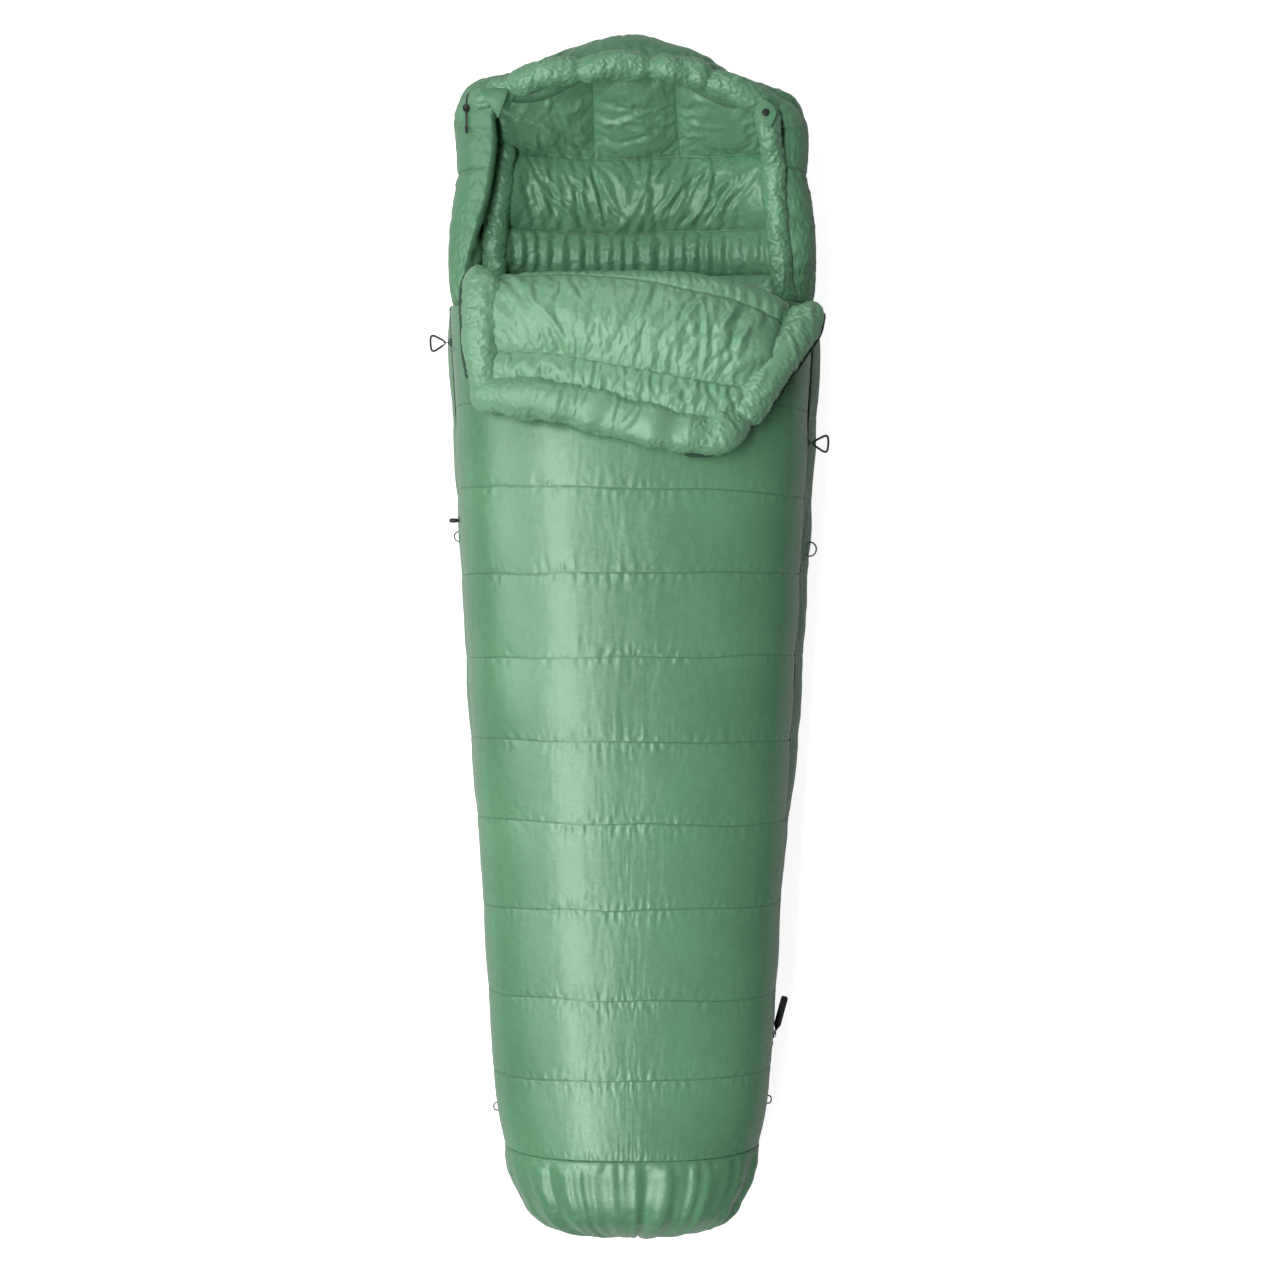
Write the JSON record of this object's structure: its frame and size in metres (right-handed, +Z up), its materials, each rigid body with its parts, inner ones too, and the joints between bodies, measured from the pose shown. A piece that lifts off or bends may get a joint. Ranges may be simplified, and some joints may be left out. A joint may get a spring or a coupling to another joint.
{
  "type": "mummy sleeping bag",
  "caption": "Quilted mummy sleeping bag with a shaped hood, a chest flap folded down, two side zips, a foot cup, a drawcord with lock and hanging loops.",
  "frame": {"origin": "on the ground, at the middle of the bag's length and between its two zip lines, so the bag's flat underside rests at Z = 0", "axes": "+Y along the bag towards the hood, +Z up off the ground, +X to the right when looking down at the bag with the hood at the top"},
  "size_m": [0.6942, 2.0746, 0.3356],
  "materials": {
    "shell_fabric": "woven ripstop-free satin nylon shell, soft sheen",
    "liner_fabric": "fine taffeta liner, soft sheen",
    "insulation": "lofted fibre fill, matt",
    "zip_tape": "twill zip tape, matt",
    "zip_coil": "moulded coil, satin",
    "dark_metal": "painted die casting, satin",
    "black_plastic": "moulded, fine texture",
    "cord": "braided cord, matt",
    "loop_webbing": "woven loop, matt",
    "spring_steel": "drawn wire"
  },
  "bodies": {
    "root": {"cord_end": "black_plastic", "draft_collar": "liner_fabric", "foot_fill": "insulation", "foot_liner": "liner_fabric", "foot_shell": "shell_fabric", "hood_back_fill": "insulation", "hood_back_liner": "liner_fabric", "hood_back_shell": "shell_fabric", "hood_drawcord": "cord", "hood_rim_tube": "liner_fabric", "hood_wall_fill": "insulation", "hood_wall_liner": "liner_fabric", "hood_wall_shell": "shell_fabric", "left_draft_tube": "liner_fabric", "left_foot_loop": "cord", "left_side_loop": "loop_webbing", "left_zip_coil_top": "zip_coil", "left_zip_coil_under": "zip_coil", "left_zip_stop": "dark_metal", "left_zip_tape_top": "zip_tape", "left_zip_tape_under": "zip_tape", "right_draft_tube": "liner_fabric", "right_foot_loop": "cord", "right_side_loop": "loop_webbing", "right_zip_coil_top": "zip_coil", "right_zip_coil_under": "zip_coil", "right_zip_stop": "dark_metal", "right_zip_tape_top": "zip_tape", "right_zip_tape_under": "zip_tape", "top_quilt_fill": "insulation", "top_quilt_liner": "liner_fabric", "top_quilt_shell": "shell_fabric", "under_quilt_fill": "insulation", "under_quilt_liner": "liner_fabric", "under_quilt_shell": "shell_fabric"},
    "flap": {"flap_shell": "shell_fabric", "flap_fill": "insulation", "flap_liner": "liner_fabric", "flap_left_tube": "liner_fabric", "flap_right_tube": "liner_fabric", "flap_hem_tube": "liner_fabric", "flap_left_zip_tape": "zip_tape", "flap_right_zip_tape": "zip_tape", "flap_snap_stud": "black_plastic"},
    "left_slider": {"left_slider": "dark_metal"},
    "left_tab": {"left_pull_tab": "dark_metal"},
    "left_loop": {"left_pull_loop": "cord"},
    "right_slider": {"right_slider": "dark_metal"},
    "right_tab": {"right_pull_tab": "dark_metal"},
    "right_loop": {"right_pull_loop": "cord"},
    "left_lower_slider": {"left_lower_slider": "dark_metal"},
    "left_lower_pull": {"left_lower_pull": "dark_metal"},
    "right_lower_slider": {"right_lower_slider": "dark_metal"},
    "right_lower_pull": {"right_lower_pull": "black_plastic"},
    "cord_lock": {"cord_lock_barrel": "black_plastic", "cord_lock_spring": "spring_steel"},
    "lock_plunger": {"cord_lock_plunger": "black_plastic"},
    "snap_tab": {"snap_tab": "shell_fabric", "snap_cap": "black_plastic"},
    "closing_tab": {"left_closing_tab": "shell_fabric"}
  },
  "joints": [
    {"name": "flap_fold", "type": "hinge", "parent": "root", "child": "flap", "pos_m": [0, 0.566, 0.29], "axis": [-1, 0, 0], "range_deg": [0, 170]},
    {"name": "left_zip_travel", "type": "slide", "parent": "root", "child": "left_slider", "axis": [-0.0572, 0.9984, 0], "range_m": [-0.27, 0.036]},
    {"name": "left_tab_swing", "type": "hinge", "parent": "left_slider", "child": "left_tab", "pos_m": [-0.31596, 0.50858, 0.125], "axis": [0, 0, 1], "range_deg": [-50, 50]},
    {"name": "left_loop_swing", "type": "hinge", "parent": "left_tab", "child": "left_loop", "pos_m": [-0.32385, 0.50813, 0.125], "axis": [-0.0572, 0.9984, 0], "range_deg": [-80, 80]},
    {"name": "right_zip_travel", "type": "slide", "parent": "root", "child": "right_slider", "axis": [0.0572, 0.9984, 0], "range_m": [-0.905, 0.205]},
    {"name": "right_tab_swing", "type": "hinge", "parent": "right_slider", "child": "right_tab", "pos_m": [0.30599, 0.33458, 0.125], "axis": [0, 0, 1], "range_deg": [-50, 50]},
    {"name": "right_loop_swing", "type": "hinge", "parent": "right_tab", "child": "right_loop", "pos_m": [0.31388, 0.33413, 0.125], "axis": [0.0572, 0.9984, 0], "range_deg": [-80, 80]},
    {"name": "left_lower_zip_travel", "type": "slide", "parent": "root", "child": "left_lower_slider", "axis": [-0.0572, 0.9984, 0], "range_m": [0, 0.262]},
    {"name": "left_lower_pull_swing", "type": "hinge", "parent": "left_lower_slider", "child": "left_lower_pull", "pos_m": [-0.29831, 0.20058, 0.125], "axis": [0, 0, 1], "range_deg": [-50, 50]},
    {"name": "right_lower_zip_travel", "type": "slide", "parent": "root", "child": "right_lower_slider", "axis": [0.0572, 0.9984, 0], "range_m": [0, 0.9]},
    {"name": "right_lower_pull_swing", "type": "hinge", "parent": "right_lower_slider", "child": "right_lower_pull", "pos_m": [0.24732, -0.68942, 0.125], "axis": [0, 0, 1], "range_deg": [-150, 0]},
    {"name": "cord_lock_travel", "type": "slide", "parent": "root", "child": "cord_lock", "axis": [0, 1, 0], "range_m": [-0.02, 0.014]},
    {"name": "cord_lock_press", "type": "slide", "parent": "cord_lock", "child": "lock_plunger", "axis": [0, 0, -1], "range_m": [0, 0.003], "stiffness_N_per_m": 400, "springref_m": -0.002, "deforming": ["cord_lock_spring"]},
    {"name": "snap_tab_lift", "type": "hinge", "parent": "root", "child": "snap_tab", "pos_m": [0.2215, 0.882, 0.258], "axis": [-1, 0, 0], "range_deg": [0, 150]},
    {"name": "closing_tab_lift", "type": "hinge", "parent": "root", "child": "closing_tab", "pos_m": [-0.222, 0.919, 0.263], "axis": [-1, 0, 0], "range_deg": [0, 150]}
  ]
}
